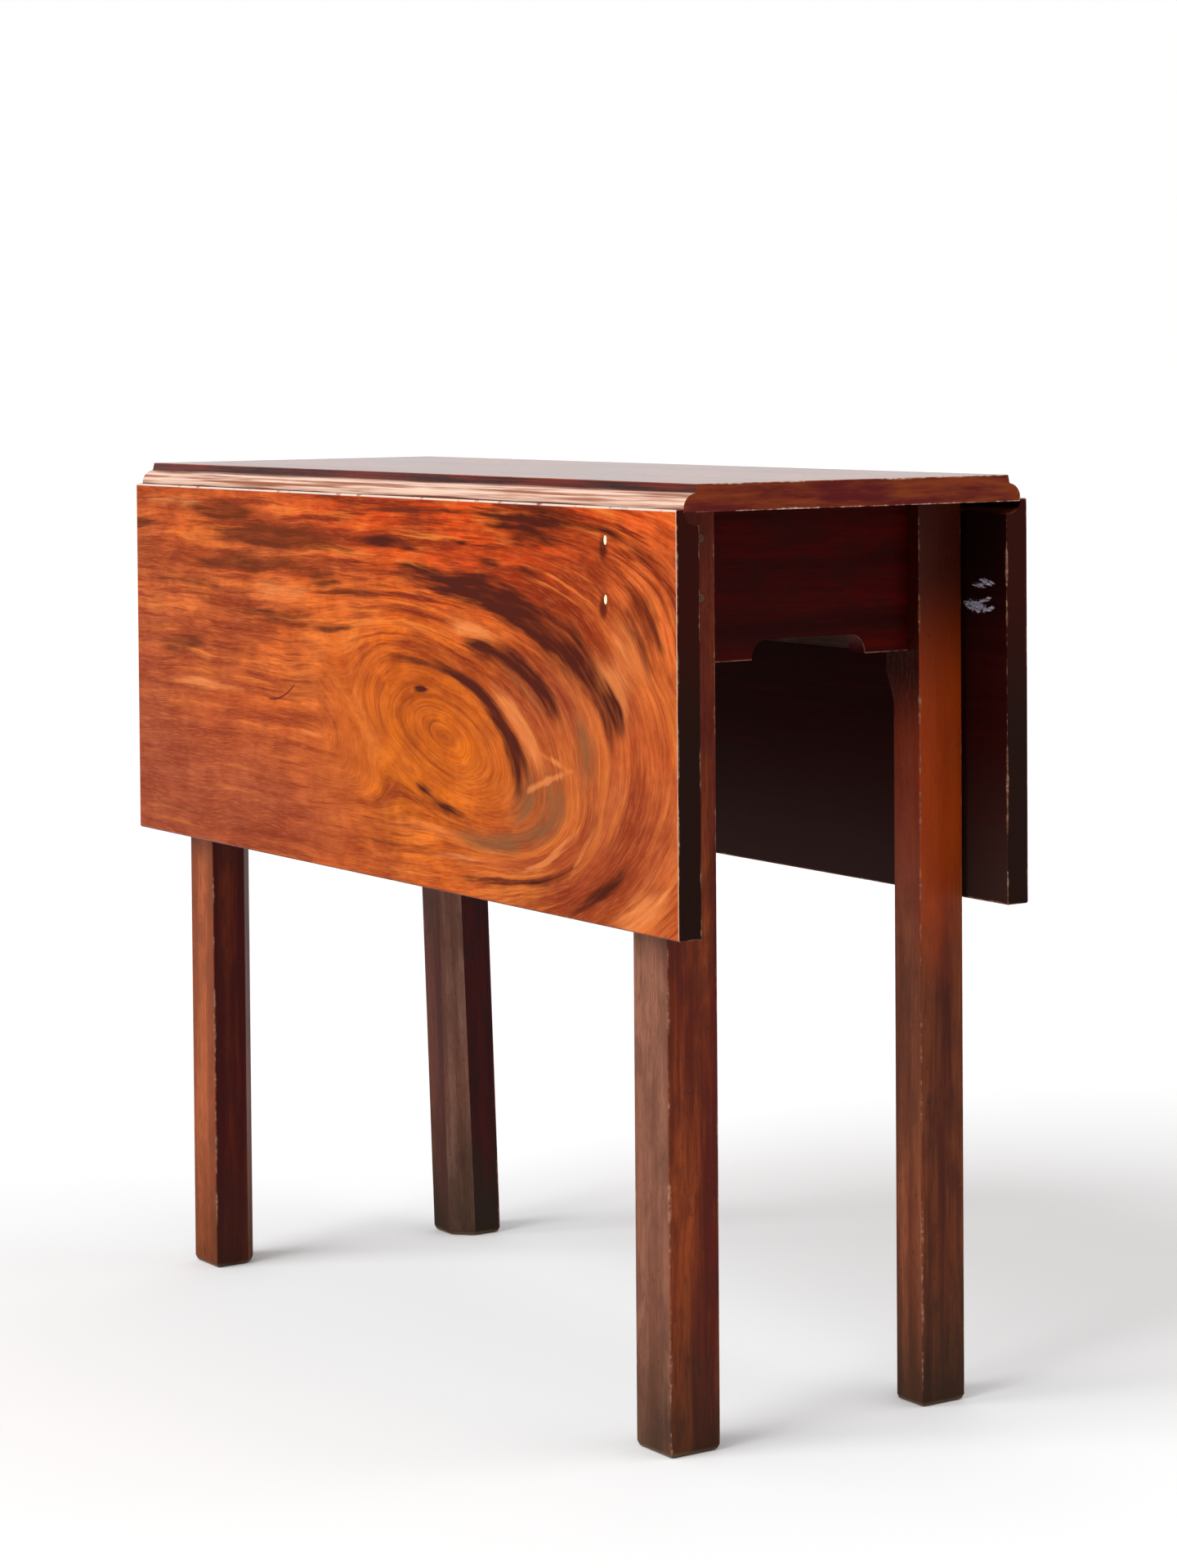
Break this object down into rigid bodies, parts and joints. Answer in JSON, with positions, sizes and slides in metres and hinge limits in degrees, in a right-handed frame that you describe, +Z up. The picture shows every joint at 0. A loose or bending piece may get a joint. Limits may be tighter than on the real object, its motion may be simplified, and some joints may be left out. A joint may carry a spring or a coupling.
{
  "type": "drop leaf table",
  "caption": "Narrow mahogany table with hanging leaves on rule joints, square legs and swinging gate legs under the leaves.",
  "frame": {"origin": "on the floor, under the middle of the top", "axes": "+X along the leaves, towards the end whose fixed leg is on the front side; +Y from the front leaf to the back leaf; +Z up"},
  "size_m": [0.848, 0.328, 0.72],
  "materials": {
    "table_mahogany": "figured mahogany, French polished to a high gloss, worn pale along the edges",
    "frame_mahogany": "mid to dark brown straight-grained mahogany, waxed, rubbed arrises, dirty feet",
    "rail_wood": "dark, dry, unpolished secondary wood",
    "peg_wood": "dark end grain",
    "iron": "dull dark wrought iron with rust"
  },
  "bodies": {
    "frame": {"top_board": "table_mahogany", "front_hinge_1_table_plate": "iron", "front_hinge_1_pin": "iron", "front_hinge_2_table_plate": "iron", "front_hinge_2_pin": "iron", "front_hinge_3_table_plate": "iron", "front_hinge_3_pin": "iron", "front_fixed_leg": "frame_mahogany", "front_fixed_rail": "rail_wood", "front_inner_rail": "rail_wood", "front_end_apron": "frame_mahogany", "front_fixed_rail_peg_1": "peg_wood", "front_end_apron_peg_1": "peg_wood", "front_fixed_rail_peg_2": "peg_wood", "front_end_apron_peg_2": "peg_wood", "front_gate_pin": "iron", "front_glue_block_1": "rail_wood", "front_glue_block_2": "rail_wood", "front_glue_block_3": "rail_wood", "back_hinge_1_table_plate": "iron", "back_hinge_1_pin": "iron", "back_hinge_2_table_plate": "iron", "back_hinge_2_pin": "iron", "back_hinge_3_table_plate": "iron", "back_hinge_3_pin": "iron", "back_fixed_leg": "frame_mahogany", "back_fixed_rail": "rail_wood", "back_inner_rail": "rail_wood", "back_end_apron": "frame_mahogany", "back_fixed_rail_peg_1": "peg_wood", "back_end_apron_peg_1": "peg_wood", "back_fixed_rail_peg_2": "peg_wood", "back_end_apron_peg_2": "peg_wood", "back_gate_pin": "iron", "back_glue_block_1": "rail_wood", "back_glue_block_2": "rail_wood", "back_glue_block_3": "rail_wood"},
    "front_leaf": {"front_leaf": "table_mahogany", "front_hinge_1_leaf_plate": "iron", "front_hinge_2_leaf_plate": "iron", "front_hinge_3_leaf_plate": "iron"},
    "back_leaf": {"back_leaf": "table_mahogany", "back_hinge_1_leaf_plate": "iron", "back_hinge_2_leaf_plate": "iron", "back_hinge_3_leaf_plate": "iron"},
    "front_gate": {"front_gate_leg": "frame_mahogany", "front_swing_rail": "rail_wood", "front_swing_rail_peg_1": "peg_wood", "front_swing_rail_peg_2": "peg_wood"},
    "back_gate": {"back_gate_leg": "frame_mahogany", "back_swing_rail": "rail_wood", "back_swing_rail_peg_1": "peg_wood", "back_swing_rail_peg_2": "peg_wood"}
  },
  "joints": [
    {"name": "front_leaf_hinge", "type": "hinge", "parent": "frame", "child": "front_leaf", "pos_m": [0, -0.146, 0.702], "axis": [-1, 0, 0], "range_deg": [0, 90]},
    {"name": "back_leaf_hinge", "type": "hinge", "parent": "frame", "child": "back_leaf", "pos_m": [0, 0.146, 0.702], "axis": [1, 0, 0], "range_deg": [0, 90]},
    {"name": "front_gate_hinge", "type": "hinge", "parent": "frame", "child": "front_gate", "pos_m": [-0.05, -0.105, 0.64], "axis": [0, 0, 1], "range_deg": [0, 1]},
    {"name": "back_gate_hinge", "type": "hinge", "parent": "frame", "child": "back_gate", "pos_m": [0.05, 0.105, 0.64], "axis": [0, 0, 1], "range_deg": [0, 1]}
  ]
}
